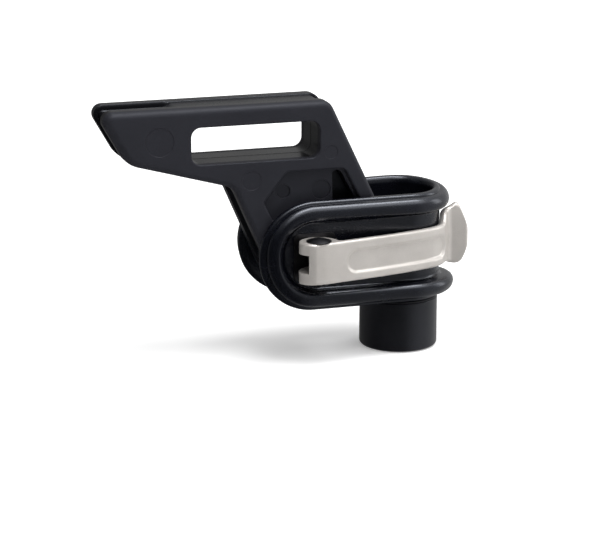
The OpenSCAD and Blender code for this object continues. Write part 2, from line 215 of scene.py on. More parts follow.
finishes = dict(
    # armNylon: its dark and light colours only show in the pocket floors, groove and window walls, as painted
    # shade; the outer faces take the much lighter face colour
    armNylon=mouldedNylon("armNylon", (0.0020, 0.0020, 0.0026), (0.0040, 0.0040, 0.0052),
                          0.30, 0.020, 0.26, 0.08, 0.26, (8.7, (0.0170, 0.0170, 0.0220))),
    collarNylon=mouldedNylon("collarNylon", (0.0010, 0.0012, 0.0026), (0.0024, 0.0029, 0.0060),
                             0.27, 0.005, 0.30, 0.08, 0.66),
    sleeveNylon=mouldedNylon("sleeveNylon", (0.0050, 0.0050, 0.0066), (0.0085, 0.0085, 0.0110),
                             0.36, 0.006, 0.26, 0.08, 0.5),
    blackAcetal=mouldedNylon("blackAcetal", (0.006, 0.006, 0.0065), (0.010, 0.010, 0.011),
                             0.40, 0.004, 0.30, 0.08),
    leverPlate=blastedPlate("leverPlate"),
    brightSteel=turnedSteel("brightSteel", (0.66, 0.66, 0.67), 0.24, (1.0, 1.0, 6.0)),
    darkSteel=turnedSteel("darkSteel", (0.055, 0.055, 0.06), 0.36, (3.0, 3.0, 1.0)),
    naturalAcetal=softSolid("naturalAcetal", (0.60, 0.58, 0.51), (0.74, 0.72, 0.66), 0.42, 0.35, 0.006),
    frictionLining=softSolid("frictionLining", (0.05, 0.035, 0.025), (0.16, 0.12, 0.085), 0.82, 0.30, 0.05),
    sinteredBronze=softSolid("sinteredBronze", (0.42, 0.29, 0.13), (0.60, 0.45, 0.24), 0.45, 0.12, 0.02, 1.0),
    insertNylon=softSolid("insertNylon", (0.03, 0.08, 0.28), (0.05, 0.12, 0.36), 0.35, 0.30, 0.004),
)
print("finishes made:", len(finishes))


# mesh tools, all in millimetres

def unit(vector):
    return vector / vector.length


def roundCorners(points, steps=8):
    # points are (x, y, radius, mark); gives [x, y, mark], and the mark changes evenly through each corner
    path = []
    count = len(points)
    for index, point in enumerate(points):
        before, after = points[index - 1], points[(index + 1) % count]
        here = Vector(point[:2])
        mark = point[3] if len(point) > 3 else 0.0
        oldMark = before[3] if len(before) > 3 else 0.0
        if point[2] <= 0:
            path.append([here.x, here.y, mark])
            continue
        back = unit(Vector(before[:2]) - here)
        ahead = unit(Vector(after[:2]) - here)
        half = math.acos(max(-1, min(1, back.dot(ahead)))) / 2
        centre = here + unit(back + ahead) * point[2] / math.sin(half)
        start = here + back * point[2] / math.tan(half) - centre
        end = here + ahead * point[2] / math.tan(half) - centre
        first = math.atan2(start.y, start.x)
        turn = (math.atan2(end.y, end.x) - first + 3 * math.pi) % (2 * math.pi) - math.pi
        for step in range(steps + 1):
            part = step / steps
            angle = first + turn * part
            path.append([centre.x + point[2] * math.cos(angle), centre.y + point[2] * math.sin(angle),
                         oldMark + (mark - oldMark) * part])
    return path


def area(path):
    return sum(a[0] * b[1] - b[0] * a[1] for a, b in zip(path, path[1:] + path[:1])) / 2


def inwards(path):
    # the mitred inward direction at each point of a closed path
    side = 1 if area(path) > 0 else -1
    result = []
    for index, point in enumerate(path):
        here = Vector(point[:2])
        back = here - Vector(path[index - 1][:2])
        ahead = Vector(path[(index + 1) % len(path)][:2]) - here
        if back.length < 1e-9 or ahead.length < 1e-9:
            back = ahead = back if back.length > ahead.length else ahead
        back, ahead = unit(back), unit(ahead)
        mean = unit(back + ahead)
        normal = Vector((-mean.y, mean.x)) * side
        result.append(normal / max(0.35, mean.dot(back)))
    return result


def circlePath(x, y, radius, steps=48):
    turns = [2 * math.pi * i / steps for i in range(steps)]
    return [[x + radius * math.cos(turn), y + radius * math.sin(turn), 0.0] for turn in turns]


def arcPoints(x, y, radius, start, end, steps):
    turns = [math.radians(start + (end - start) * i / steps) for i in range(steps + 1)]
    return [(x + radius * math.cos(turn), y + radius * math.sin(turn), 0.0) for turn in turns]


def smooth(value, low, high):
    share = min(1.0, max(0.0, (value - low) / (high - low)))
    return share * share * (3 - 2 * share)


def quarter(radius, steps=5):
    # (inset, rise) pairs of an edge rounding, from the flat face to the side
    return [(radius * (1 - math.sin(math.pi / 2 * i / steps)), radius * (1 - math.cos(math.pi / 2 * i / steps)))
            for i in range(steps + 1)]


planes = dict(
    side=lambda u, v, w: Vector((u, w, v)),
    top=lambda u, v, w: Vector((u, v, w)),
)


def loopAt(bm, path, insets, depth, plane):
    # a loop of corners: the path moved inwards by insets, at one depth
    normals = inwards(path)
    loop = []
    for index, point in enumerate(path):
        inset = insets[index] if isinstance(insets, list) else insets
        high = depth[index] if isinstance(depth, list) else depth
        u, v = point[0] + normals[index].x * inset, point[1] + normals[index].y * inset
        loop.append(bm.verts.new(planes[plane](u, v, high)))
    return loop


def skin(bm, loops, closed=False):
    # quads between each loop and the next
    pairs = list(zip(loops, loops[1:])) + ([(loops[-1], loops[0])] if closed else [])
    for first, second in pairs:
        for index in range(len(first)):
            face = [first[index - 1], first[index], second[index], second[index - 1]]
            corners = list(dict.fromkeys(face))
            if len(corners) > 2:
                bm.faces.new(corners)


def fill(bm, loops):
    # one flat face set bounded by the first loop, with the others as holes
    edges = []
    for loop in loops:
        for index in range(len(loop)):
            pair = (loop[index - 1], loop[index])
            edges.append(bm.edges.get(pair) or bm.edges.new(pair))
    bmesh.ops.triangle_fill(bm, use_beauty=True, use_dissolve=False, edges=edges)


def lathe(bm, path, centre, axis="Z", steps=72):
    # a closed (radius, height) path turned about an axis through centre
    x, y, z = centre
    loops = []
    for radius, height, *rest in path:
        if radius < 1e-6:
            point = (x, y + height, z) if axis == "Y" else (x, y, z + height)
            loops.append([bm.verts.new(point)] * steps)
            continue
        loop = []
        for step in range(steps):
            angle = 2 * math.pi * step / steps
            across, up = radius * math.cos(angle), radius * math.sin(angle)
            point = (x + across, y + height, z + up) if axis == "Y" else (x + across, y + up, z + height)
            loop.append(bm.verts.new(point))
        loops.append(loop)
    skin(bm, loops, closed=True)


def plate(bm, outline, holes, low, high, edge, plane="top", holeEdge=None):
    # a flat plate with rounded edges and rounded holes
    profile = quarter(edge, 4)
    holeProfile = quarter(holeEdge if holeEdge else edge * 0.6, 3)
    ends = [[], []]
    for number, path in enumerate([outline] + holes):
        sign = 1 if number == 0 else -1
        steps = profile if number == 0 else holeProfile
        insets = [(inset * sign, low + rise) for inset, rise in steps]
        insets += [(inset * sign, high - rise) for inset, rise in reversed(steps)]
        loops = [loopAt(bm, path, inset, depth, plane) for inset, depth in insets]
        skin(bm, loops)
        ends[0].append(loops[0])
        ends[1].append(loops[-1])
    fill(bm, ends[0])
    fill(bm, ends[1])


def helperObject(bm):
    bmesh.ops.recalc_face_normals(bm, faces=bm.faces)
    mesh = bpy.data.meshes.new("helper")
    bm.to_mesh(mesh)
    bm.free()
    helper = bpy.data.objects.new("helper", mesh)
    bpy.context.collection.objects.link(helper)
    return helper


def combine(bm, tools, operation="DIFFERENCE"):
    # exact boolean of a solid with each tool in turn
    body = helperObject(bm)
    helpers = [helperObject(tool) for tool in tools]
    for helper in helpers:
        step = body.modifiers.new("cut", "BOOLEAN")
        step.operation = operation
        step.solver = "EXACT"
        step.object = helper
    result = bmesh.new()
    result.from_object(body, bpy.context.evaluated_depsgraph_get())
    for helper in helpers + [body]:
        mesh = helper.data
        bpy.data.objects.remove(helper)
        bpy.data.meshes.remove(mesh)
    return result


def finishPiece(name, bm, nodes, finish, sharpAngle=38.0):
    bmesh.ops.remove_doubles(bm, verts=bm.verts, dist=1e-4)
    bmesh.ops.dissolve_degenerate(bm, edges=bm.edges, dist=1e-5)
    bmesh.ops.recalc_face_normals(bm, faces=bm.faces)
    for face in bm.faces:
        face.smooth = True
    for edge in bm.edges:
        crease = len(edge.link_faces) == 2 and edge.calc_face_angle(0) > math.radians(sharpAngle)
        edge.smooth = not crease
    gaps = sum(1 for edge in bm.edges if len(edge.link_faces) != 2)
    bm.transform(Matrix.Scale(mm, 4))
    mesh = bpy.data.meshes.new(name)
    bm.to_mesh(mesh)
    bm.free()
    mesh.materials.append(finishes[finish])
    piece = bpy.data.objects.new(name, mesh)
    bpy.context.collection.objects.link(piece)
    normals = piece.modifiers.new("flatFaces", "WEIGHTED_NORMAL")
    normals.keep_sharp = True
    normals.weight = 80
    node = nodes[0]
    record = frame["record"]
    body = next(body for body, members in record["behaviour"]["bodies"].items() if node in members)
    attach(piece, body)
    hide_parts(*nodes)
    print(name, "made,", len(mesh.polygons), "faces,", gaps, "open edges")
    return piece


def boxTool(low, high):
    bm = bmesh.new()
    bmesh.ops.create_cube(bm, size=1)
    middle = (Vector(low) + Vector(high)) / 2
    span = Vector(high) - Vector(low)
    bm.transform(Matrix.Translation(middle) @ Matrix.Diagonal((*span, 1)))
    return bm


def rodTool(radius, centre, start, end, axis, steps=64):
    bm = bmesh.new()
    lathe(bm, [(0, start), (radius, start), (radius, end), (0, end)], centre, axis, steps)
    return bm


# arm

arm = dict(
    half=(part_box("arm")[1][1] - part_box("arm")[0][1]) / 2 / mm,
    topZ=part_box("arm")[1][2] / mm,
    reach=112.0,
    legSlope=64.5, noseSlope=60.5, underSlope=15.4, backSlope=65.3,
    frontZ=30.3, underZ=45.92, backZ=-76.2, legEndX=-11.8,
    hubR=15.4, bushR=5.02,
    grooveHalf=4.8, grooveEdge=0.4,
    windowLow=(-79.3, 72.6), windowHigh=(-33.3, 85.6), windowRound=3.4, windowEdge=0.45, partingLine=0.08,
    pocketTop=68.2, pocketDepth=2.3, pocketEdge=0.8, deepDepth=7.0, bossR=17.0,
    faceMarks=((-90.4, 81.4, 5.0, 0.14), (-58.0, 66.0, 3.4, 0.12), (-29.3, 74.3, 2.4, 0.14)),
    floorMarks=((-46.0, 61.0, 2.5, 0.5), (-32.2, 60.8, 3.5, 0.45)),
)


def slopeLine(height, degrees):
    return height, -math.tan(math.radians(degrees))


def crossing(first, second):
    x = (second[0] - first[0]) / (first[1] - second[1])
    return x, first[0] + first[1] * x


def armOutline():
    # (x, z, corner radius, number of the run that leaves this spot)
    leg = slopeLine(arm["frontZ"], arm["legSlope"])
    under = slopeLine(arm["underZ"], arm["underSlope"])
    back = slopeLine(arm["backZ"], arm["backSlope"])
    nose = slopeLine(arm["topZ"] - math.tan(math.radians(arm["noseSlope"])) * arm["reach"], arm["noseSlope"])
    top = (arm["topZ"], 0.0)
    topRight = crossing(top, leg)
    legEnd = (arm["legEndX"], leg[0] + leg[1] * arm["legEndX"])
    hubEnd = -90 - arm["backSlope"]
    hub = arcPoints(pivotX, pivotZ, arm["hubR"], -22, hubEnd, 28)
    backTop = crossing(back, under)
    tip = crossing(under, nose)
    spots = [
        (-arm["reach"], arm["topZ"], 3.4, 0),
        (-85.0, arm["topZ"], 0, 1), (-82.6, arm["topZ"], 0, 2),
        (topRight[0] - 9.0, topRight[1], 0, 3),
        (topRight[0], topRight[1], 4.6, 4),
        (legEnd[0], legEnd[1], 3.5, 5),
        (hub[0][0] + 6.0, hub[0][1] + 11.0, 0, 6),
    ]
    spots += [(x, y, 0, 7) for x, y, _ in hub]
    alongBack = Vector((backTop[0] - hub[-1][0], backTop[1] - hub[-1][1])).normalized()
    spots += [
        (hub[-1][0] + alongBack.x * 3.5, hub[-1][1] + alongBack.y * 3.5, 0, 8),
        (backTop[0], backTop[1], 6.0, 9),
        (tip[0], tip[1], 9.0, 10),
    ]
    return spots


def armStations():
    # edge rounding and groove depth of each run
    runs = [(2.6, 2.2), (2.6, 2.2), (2.6, 0.6), (2.4, 0.6), (1.7, 2.2), (1.4, 2.2), (1.2, 0.0), (1.0, 0.0),
            (1.8, 2.4), (2.2, 2.4), (3.0, 1.5)]
    spots = armOutline()
    rounding = roundCorners([(x, y, r, runs[mark][0]) for x, y, r, mark in spots], 10)
    groove = roundCorners([(x, y, r, runs[mark][1]) for x, y, r, mark in spots], 10)
    return rounding, [point[2] for point in rounding], [point[2] for point in groove]


def armPocket():
    top, low = arm["pocketTop"], arm["pocketTop"] - 17.4
    reach = math.degrees(math.asin((low - pivotZ) / arm["bossR"]))
    shape = [(-45.4, top, 3.0), (-24.2, top, 3.0), (-16.9, top - 14.8, 1.5), (-23.5, low, 0.4)]
    shape += arcPoints(pivotX, pivotZ, arm["bossR"], reach, 180 - reach, 22)
    shape += [(-50.2, low, 0.9), (-53.6, top - 10.4, 1.6)]
    return roundCorners(shape, 6)


def armDeepPart():
    shape = [(-28.2, 67.3, 1.3), (-25.2, 67.3, 2.5), (-18.1, 53.7, 1.2), (-24.2, 52.05, 0)]
    shape += arcPoints(pivotX, pivotZ, arm["bossR"] + 0.7, 52.5, 61.2, 6)
    return roundCorners(shape, 6)


def markLoops(bm, x, z, radius, depth, face, sign):
    # a round ejector mark: a small step into the face
    path = circlePath(x, z, radius, 40)
    rim = loopAt(bm, path, -0.06, face, "side")
    loops = [rim, loopAt(bm, path, 0.0, face + sign * depth * 0.35, "side"),
             loopAt(bm, path, 0.06, face + sign * depth, "side")]
    skin(bm, loops)
    fill(bm, [loops[-1]])
    return rim


def buildArm():
    bm = bmesh.new()
    path, rounding, groove = armStations()
    half, gutter, edge = arm["half"], arm["grooveHalf"], arm["grooveEdge"]
    count = len(path)
    loops = []
    turnSteps = 6
    for side in (-1, 1):
        part = []
        for step in range(turnSteps + 1):
            angle = math.pi / 2 * step / turnSteps
            insets = [r * (1 - math.sin(angle)) for r in rounding]
            depths = [side * (half - r * (1 - math.cos(angle))) for r in rounding]
            part.append(loopAt(bm, path, insets, depths, "side"))
        for out, share in ((edge * 1.0, 0.0), (edge * 0.3, 0.16), (0.0, 0.45), (-0.12, 0.86), (-0.45, 1.0)):
            part.append(loopAt(bm, path, [g * share for g in groove], side * (gutter + out), "side"))
        loops += part if side < 0 else list(reversed(part))
    skin(bm, loops)
    for side in (-1, 1):
        face = side * half
        inner = -side
        rims = [loops[0] if side < 0 else loops[-1]]
        (left, low), (right, high), corner = arm["windowLow"], arm["windowHigh"], arm["windowRound"]
        windowPath = roundCorners([(left, low, corner), (right, low, corner), (right, high, corner),
                                   (left, high, corner)], 8)
        tunnel = [loopAt(bm, windowPath, -inset, face + inner * rise, "side")
                  for inset, rise in quarter(arm["windowEdge"], 5)]
        tunnel += [loopAt(bm, windowPath, 0.0, side * 0.25, "side"),
                   loopAt(bm, windowPath, arm["partingLine"], side * 0.12, "side"),
                   loopAt(bm, windowPath, arm["partingLine"], 0.0, "side")]
        skin(bm, tunnel)
        rims.append(tunnel[0])
        bore = circlePath(pivotX, pivotZ, arm["bushR"], 56)
        boreLoops = [loopAt(bm, bore, -0.3, face, "side"), loopAt(bm, bore, 0.0, face + inner * 0.3, "side"),
                     loopAt(bm, bore, 0.0, 0.0, "side")]
        skin(bm, boreLoops)
        rims.append(boreLoops[0])
        pocket = armPocket()
        floor = face + inner * arm["pocketDepth"]
        walls = [loopAt(bm, pocket, -inset, face + inner * rise, "side")
                 for inset, rise in quarter(arm["pocketEdge"], 4)]
        walls += [loopAt(bm, pocket, inset, floor - inner * rise, "side")
                  for inset, rise in ((0.05, 0.35), (0.15, 0.1), (0.4, 0.0))]
        skin(bm, walls)
        rims.append(walls[0])
        deep = armDeepPart()
        bottom = face + inner * arm["deepDepth"]
        deepWalls = [loopAt(bm, deep, -inset, floor + inner * rise, "side") for inset, rise in quarter(0.2, 2)]
        deepWalls += [loopAt(bm, deep, 0.12, bottom - inner * 0.3, "side"),
                      loopAt(bm, deep, 0.45, bottom, "side")]
        skin(bm, deepWalls)
        fill(bm, [deepWalls[-1]])
        floorRims = [walls[-1], deepWalls[0]]
        floorRims += [markLoops(bm, x, z, r, d, floor, inner) for x, z, r, d in arm["floorMarks"]]
        fill(bm, floorRims)
        rims += [markLoops(bm, x, z, r, d, face, inner) for x, z, r, d in arm["faceMarks"]]
        fill(bm, rims)
    return finishPiece("cantedArm", bm, ["arm"], "armNylon")


buildArm()


# collar

collar = dict(
    boreR=11.4, wallR=14.4, earR=19.6,
    rimWide=1.4, rimDrop=2.6, plateRound=1.2,
    startTop=1.1, startLow=2.0, startRear=0.6,
    lipWidth=5.8, lipOuterWide=3.5, lipOuterRound=2.8, lipInnerRound=2.3, lipFoot=1.3,
    lipTop=3.1, lipLow=5.3, lipRear=4.6, lipTopZ=56.4, lipLowZ=20.3, rearRise=1.0,
    ringSteps=64, straightSteps=14, endSteps=56,
    boltHoleR=3.1, discHoleR=15.2, discHoleDepth=1.0, ledgeR=10.2, ledgeLow=42.6, ledgeTop=43.8,
)


def collarPoint(along, z, height):
    # along runs round the horseshoe at the wall's outer face, from the front ear to the rear ear
    quarterRun = math.pi / 2 * collar["wallR"]
    radius = collar["wallR"] + height
    if abs(along) <= quarterRun:
        angle = along / collar["wallR"]
        return Vector((radius * math.cos(angle), radius * math.sin(angle), z))
    return Vector((-(abs(along) - quarterRun), math.copysign(radius, along), z))


def lipShape(z, rear):
    # where the lip starts from the plate's edge, and how far it stands out
    c = collar
    share = min(1.0, max(0.0, (c["lipTopZ"] - z) / (c["lipTopZ"] - c["lipLowZ"])))
    start = c["startTop"] + (c["startLow"] - c["startTop"]) * min(1.0, 2 * share)
    top = c["lipTop"] + (c["lipRear"] - c["lipTop"]) * rear
    return start + (c["startRear"] - start) * rear, top + (c["lipLow"] - top) * share


def collarProfile(z, rear):
    c = collar
    wall = c["wallR"] - c["boreR"]
    start, high = lipShape(z, rear)
    end = start + c["lipWidth"]
    out, inn = min(c["lipOuterRound"], high - 0.2), min(c["lipInnerRound"], high - 1.15)
    profile = []
    for step in range(6):
        angle = math.pi / 2 * step / 5
        profile.append((c["rimDrop"] * (1 - math.sin(angle)), -wall + c["rimWide"] * (1 - math.cos(angle))))
    soft = min(c["plateRound"], start)
    for step in range(5):
        angle = math.pi / 2 * step / 4
        profile.append((soft * (1 - math.cos(angle)), soft * (math.sin(angle) - 1) + 0.1 * step / 4))
    profile += [(start + 0.05, 0.3)]
    for step in range(8):
        angle = math.pi / 2 * step / 7
        across = c["lipOuterWide"] * (1 - math.cos(angle))
        profile.append((start + 0.05 + across, high - out + out * math.sin(angle)))
    for step in range(5):
        angle = math.pi / 2 * step / 4
        profile.append((end - inn + inn * math.sin(angle), high - inn + inn * math.cos(angle)))
    for step in range(5):
        angle = math.pi / 2 * step / 4
        profile.append((end + c["lipFoot"] * (1 - math.cos(angle)), c["lipFoot"] * (1 - math.sin(angle))))
    return profile


def buildCollar():
    c = collar
    bm = bmesh.new()
    quarterRun = math.pi / 2 * c["wallR"]
    straightEnd = quarterRun - pivotX
    straights = c["straightSteps"]
    stops = [-straightEnd + (straightEnd - quarterRun) * i / straights for i in range(straights)]
    stops += [-quarterRun + 2 * quarterRun * i / c["ringSteps"] for i in range(c["ringSteps"])]
    stops += [quarterRun + (straightEnd - quarterRun) * i / straights for i in range(straights + 1)]
    # stations: (along, z, inward direction); the top edge, one ear, the lower edge, the other ear
    stations = [(s, pivotZ + c["earR"], (0.0, -1.0)) for s in stops]
    for step in range(1, c["endSteps"]):
        angle = math.pi / 2 - math.pi * step / c["endSteps"]
        stations.append((straightEnd + c["earR"] * math.cos(angle), pivotZ + c["earR"] * math.sin(angle),
                         (-math.cos(angle), -math.sin(angle))))
    stations += [(s, pivotZ - c["earR"], (0.0, 1.0)) for s in reversed(stops)]
    for step in range(1, c["endSteps"]):
        angle = -math.pi / 2 - math.pi * step / c["endSteps"]
        stations.append((-straightEnd + c["earR"] * math.cos(angle), pivotZ + c["earR"] * math.sin(angle),
                         (-math.cos(angle), -math.sin(angle))))
    rows = []
    for along, z, (inS, inZ) in stations:
        rear = smooth(along, -0.6 * quarterRun, 0.8 * quarterRun)
        fade = 1 - smooth(along, quarterRun, straightEnd)
        lift = c["rearRise"] * rear * fade * smooth(z, pivotZ, pivotZ + c["earR"])
        rows.append([bm.verts.new(collarPoint(along + inS * d, z + lift + inZ * d, h))
                     for d, h in collarProfile(z, rear)])
    for row, after in zip(rows, rows[1:] + rows[:1]):
        for j in range(len(row) - 1):
            bm.faces.new((row[j], after[j], after[j + 1], row[j + 1]))
    # the flat wall between the lips and the bore's wall, as a ladder of paired top and lower stations
    top = len(stops)
    ends = c["endSteps"] - 1
    pairs = []
    firstEar = list(range(2 * top + ends, 2 * top + 2 * ends))  # from the lower edge up round the front ear
    middle = ends // 2
    for i in range(middle):
        pairs.append((firstEar[middle + 1 + i], firstEar[middle - 1 - i]))
    pairs += [(i, 2 * top + ends - 1 - i) for i in range(top)]
    secondEar = list(range(top, top + ends))
    for i in range(middle):
        pairs.append((secondEar[i], secondEar[ends - 1 - i]))
    for j in (0, -1):
        tip = rows[firstEar[middle]][j]
        bm.faces.new((tip, rows[pairs[0][0]][j], rows[pairs[0][1]][j]))
        for (a, b), (aNext, bNext) in zip(pairs, pairs[1:]):
            bm.faces.new((rows[a][j], rows[aNext][j], rows[bNext][j], rows[b][j]))
        tip = rows[secondEar[middle]][j]
        bm.faces.new((rows[pairs[-1][0]][j], tip, rows[pairs[-1][1]][j]))
    past = c["boreR"] + c["discHoleDepth"]
    tools = [rodTool(c["boltHoleR"], (pivotX, 0, pivotZ), -16, 16, "Y"),
             rodTool(c["discHoleR"], (pivotX, 0, pivotZ), -past, past, "Y", 96)]
    bm = combine(bm, tools)
    ledge = bmesh.new()
    outline = [[x, y, 0] for x, y, _ in arcPoints(0, 0, c["boreR"] + 0.6, -88, 88, 48)]
    outline += [[x, y, 0] for x, y, _ in arcPoints(0, 0, c["ledgeR"], 88, -88, 48)]
    plate(ledge, outline, [], c["ledgeLow"], c["ledgeTop"], 0.2)
    bm = combine(bm, [ledge], "UNION")
    return finishPiece("horseshoeCollar", bm, ["collar_strap"], "collarNylon")


buildCollar()


# sleeve and what turns on its neck

sleeve = dict(r=14.0, socketR=8.1, depth=40.0, shoulder=18.0, neckR=10.0, top=46.6, footRound=1.25, mouth=0.6,
              ringLow=44.3, ringT=1.1, ringR=11.1, grooveR=9.3, gap=36.0,
              linerLow=18.7, linerTop=42.4, linerR=11.33)


def buildSleeve():
    s = sleeve
    ringTop = s["ringLow"] + s["ringT"]
    bm = bmesh.new()
    lathe(bm, roundCorners([
        (s["socketR"], 0, s["mouth"]), (s["r"], 0, s["footRound"]),
        (s["r"], s["shoulder"], 0.5), (s["neckR"], s["shoulder"], 0.25),
        (s["neckR"], s["ringLow"], 0.05), (s["grooveR"], s["ringLow"], 0), (s["grooveR"], ringTop, 0),
        (s["neckR"], ringTop, 0.05), (s["neckR"], s["top"], 0.8), (0, s["top"], 0), (0, s["depth"], 0),
        (s["socketR"], s["depth"], 0.6)], 6), (0, 0, 0), steps=128)
    return finishPiece("standSleeve", bm, ["swivel_sleeve"], "sleeveNylon")


def buildRings():
    s = sleeve
    neck = s["neckR"] + 0.02
    liner = bmesh.new()
    lathe(liner, roundCorners([(neck, s["linerLow"], 0.1), (s["linerR"], s["linerLow"], 0.25),
                               (s["linerR"], s["linerTop"], 0.25), (neck, s["linerTop"], 0.1)], 3),
          (0, 0, 0), steps=112)
    finishPiece("neckLiner", liner, ["neck_liner"], "naturalAcetal")
    for node, name, finish in (("lower_thrust_washer", "lowerThrustWasher", "blackAcetal"),
                               ("upper_thrust_washer", "upperThrustWasher", "naturalAcetal")):
        low, high = sizes(node)
        bm = bmesh.new()
        lathe(bm, roundCorners([(neck, low[2], 0.06), (high[0], low[2], 0.12), (high[0], high[2], 0.12),
                                (neck, high[2], 0.06)], 3), (0, 0, 0), steps=112)
        finishPiece(name, bm, [node], finish)
    half = s["gap"] / 2
    edge = math.degrees(2.2 / s["ringR"])
    outline = arcPoints(0, 0, s["ringR"], 180 + half, 540 - half, 88)
    inner = arcPoints(0, 0, s["grooveR"] + 0.75, 540 - half - 2.2 * edge, 180 + half + 2.2 * edge, 72)
    lugs = [arcPoints(0, 0, s["grooveR"] + 0.02, 540 - half, 540 - half - 1.6 * edge, 5),
            arcPoints(0, 0, s["grooveR"] + 0.02, 180 + half + 1.6 * edge, 180 + half, 5)]
    path = [[x, y, 0] for x, y, _ in outline + lugs[0] + inner + lugs[1]]
    eyes = []
    for angle in (180 + half + 0.75 * edge, 540 - half - 0.75 * edge):
        middle = (s["ringR"] + s["grooveR"]) / 2
        turn = math.radians(angle)
        eyes.append(circlePath(middle * math.cos(turn), middle * math.sin(turn), 0.42, 20))
    ring = bmesh.new()
    plate(ring, path, eyes, s["ringLow"] + 0.02, s["ringLow"] + s["ringT"] - 0.02, 0.1)
    finishPiece("retainingRing", ring, ["retaining_ring"], "darkSteel")


buildSleeve()
buildRings()


# tie bolt, nut, spring, washers and discs along the tilt axis

tie = dict(shankR=3.0, eyeR=3.3, eyeH=6.1, pinFit=0.06, nutFlats=10.0, pitch=1.0, discR=15.1, discHole=3.5)


def buildTie():
    t = tie
    low, high = sizes("tie_bolt")
    end = high[1]
    shank = bmesh.new()
    # the threaded end is a stack of rounded crests
    path = [(0, pinY), (t["shankR"], pinY), (t["shankR"], end - 7.6), (t["shankR"] - 0.32, end - 7.2)]
    crest = end - 7.0
    while crest < end - 1.1:
        path += [(t["shankR"] - 0.36, crest), (t["shankR"] - 0.03, crest + 0.42),
                 (t["shankR"] - 0.03, crest + 0.55)]
        crest += t["pitch"]
    path += [(t["shankR"] - 0.4, crest), (t["shankR"] - 0.12, end - 0.65), (t["shankR"] - 0.7, end), (0, end)]
    lathe(shank, path, (pivotX, 0, pivotZ), "Y", 64)
    eye = bmesh.new()
    eyeLow, eyeTop = pivotZ - t["eyeH"] / 2, pivotZ + t["eyeH"] / 2
    lathe(eye, roundCorners([(0, eyeLow, 0), (t["eyeR"], eyeLow, 0.5), (t["eyeR"], eyeTop, 0.5),
                             (0, eyeTop, 0)], 4), (pinX, pinY, 0), steps=72)
    bm = combine(shank, [eye], "UNION")
    bm = combine(bm, [rodTool(2.0 + t["pinFit"], (pinX, pinY, pivotZ), -6, 6, "Z")])
    finishPiece("tieBolt", bm, ["tie_bolt"], "brightSteel", 30)
    low, high = sizes("disc_spring")
    spring = bmesh.new()
    lathe(spring, roundCorners([(3.1, low[1] + 0.45, 0.1), (6.0, low[1], 0.12), (6.0, low[1] + 0.5, 0.12),
                                (3.1, high[1], 0.1)], 3), (pivotX, 0, pivotZ), "Y", 80)
    finishPiece("discSpring", spring, ["disc_spring"], "darkSteel")
    low, high = sizes("rear_nut")
    corner = t["nutFlats"] / 2 / math.cos(math.radians(30))
    hexPath = [(x, z, 0.35) for x, z, _ in arcPoints(0, 0, corner, 0, 300, 5)]
    nut = bmesh.new()
    flats = [[x + pivotX, z + pivotZ, 0] for x, z, _ in roundCorners(hexPath, 3)]
    plate(nut, flats, [], low[1], high[1], 0.05, "side")
    crown = bmesh.new()
    lathe(crown, roundCorners([(0, low[1] - 0.01, 0), (5.05, low[1] - 0.01, 0.1),
                               (corner + 0.1, low[1] + 0.55, 0.1), (corner + 0.1, high[1] - 0.75, 0.1),
                               (4.5, high[1] + 0.01, 0.1), (0, high[1] + 0.01, 0)], 3),
          (pivotX, 0, pivotZ), "Y", 96)
    nut = combine(nut, [crown], "INTERSECT")
    bore = bmesh.new()
    wall, seat = t["shankR"] + 0.02, t["shankR"] + 1
    lathe(bore, [(0, low[1] - 1), (t["shankR"] + 0.5, low[1] - 0.01), (wall, low[1] + 0.5),
                 (wall, high[1] - 1.1), (seat, high[1] - 1.1), (seat, high[1] + 1), (0, high[1] + 1)],
          (pivotX, 0, pivotZ), "Y", 64)
    nut = combine(nut, [bore])
    finishPiece("rearNut", nut, ["rear_nut"], "brightSteel", 30)
    low, high = sizes("nut_insert")
    insert = bmesh.new()
    lathe(insert, roundCorners([(3.05, low[1], 0.05), (3.98, low[1], 0.05), (3.98, high[1], 0.2),
                                (3.05, high[1], 0.25)], 3), (pivotX, 0, pivotZ), "Y", 64)
    finishPiece("nutInsert", insert, ["nut_insert"], "insertNylon")
    low, high = sizes("rear_washer")
    washer = bmesh.new()
    lathe(washer, roundCorners([(3.1, low[1], 0.15), (6.4, low[1], 0.15), (6.4, high[1], 0.3),
                                (3.1, high[1], 0.15)], 3), (pivotX, 0, pivotZ), "Y", 80)
    finishPiece("rearWasher", washer, ["rear_washer"], "brightSteel")
    low, high = sizes("cam_saddle")
    saddle = bmesh.new()
    corners = [(low[0], low[2], 1.6), (high[0], low[2], 1.6), (high[0], high[2], 1.6), (low[0], high[2], 1.6)]
    hole = circlePath(pivotX, pivotZ, 3.1, 48)
    plate(saddle, roundCorners(corners, 6), [hole], low[1], high[1], 0.12, "side")
    finishPiece("camSaddle", saddle, ["cam_saddle"], "darkSteel")
    for node, name in (("friction_disc_front", "frictionDiscFront"),
                       ("friction_disc_rear", "frictionDiscRear")):
        low, high = sizes(node)
        disc = bmesh.new()
        lathe(disc, roundCorners([(t["discHole"], low[1], 0.1), (t["discR"], low[1], 0.15),
                                  (t["discR"], high[1], 0.15), (t["discHole"], high[1], 0.1)], 3),
              (pivotX, 0, pivotZ), "Y", 112)
        finishPiece(name, disc, [node], "frictionLining")
    low, high = sizes("arm_pivot_bush")
    bush = bmesh.new()
    lathe(bush, roundCorners([(3.1, low[1], 0.3), (5.0, low[1], 0.15), (5.0, high[1], 0.15),
                              (3.1, high[1], 0.3)], 3), (pivotX, 0, pivotZ), "Y", 64)
    finishPiece("armPivotBush", bush, ["arm_pivot_bush"], "sinteredBronze")


buildTie()


# lever

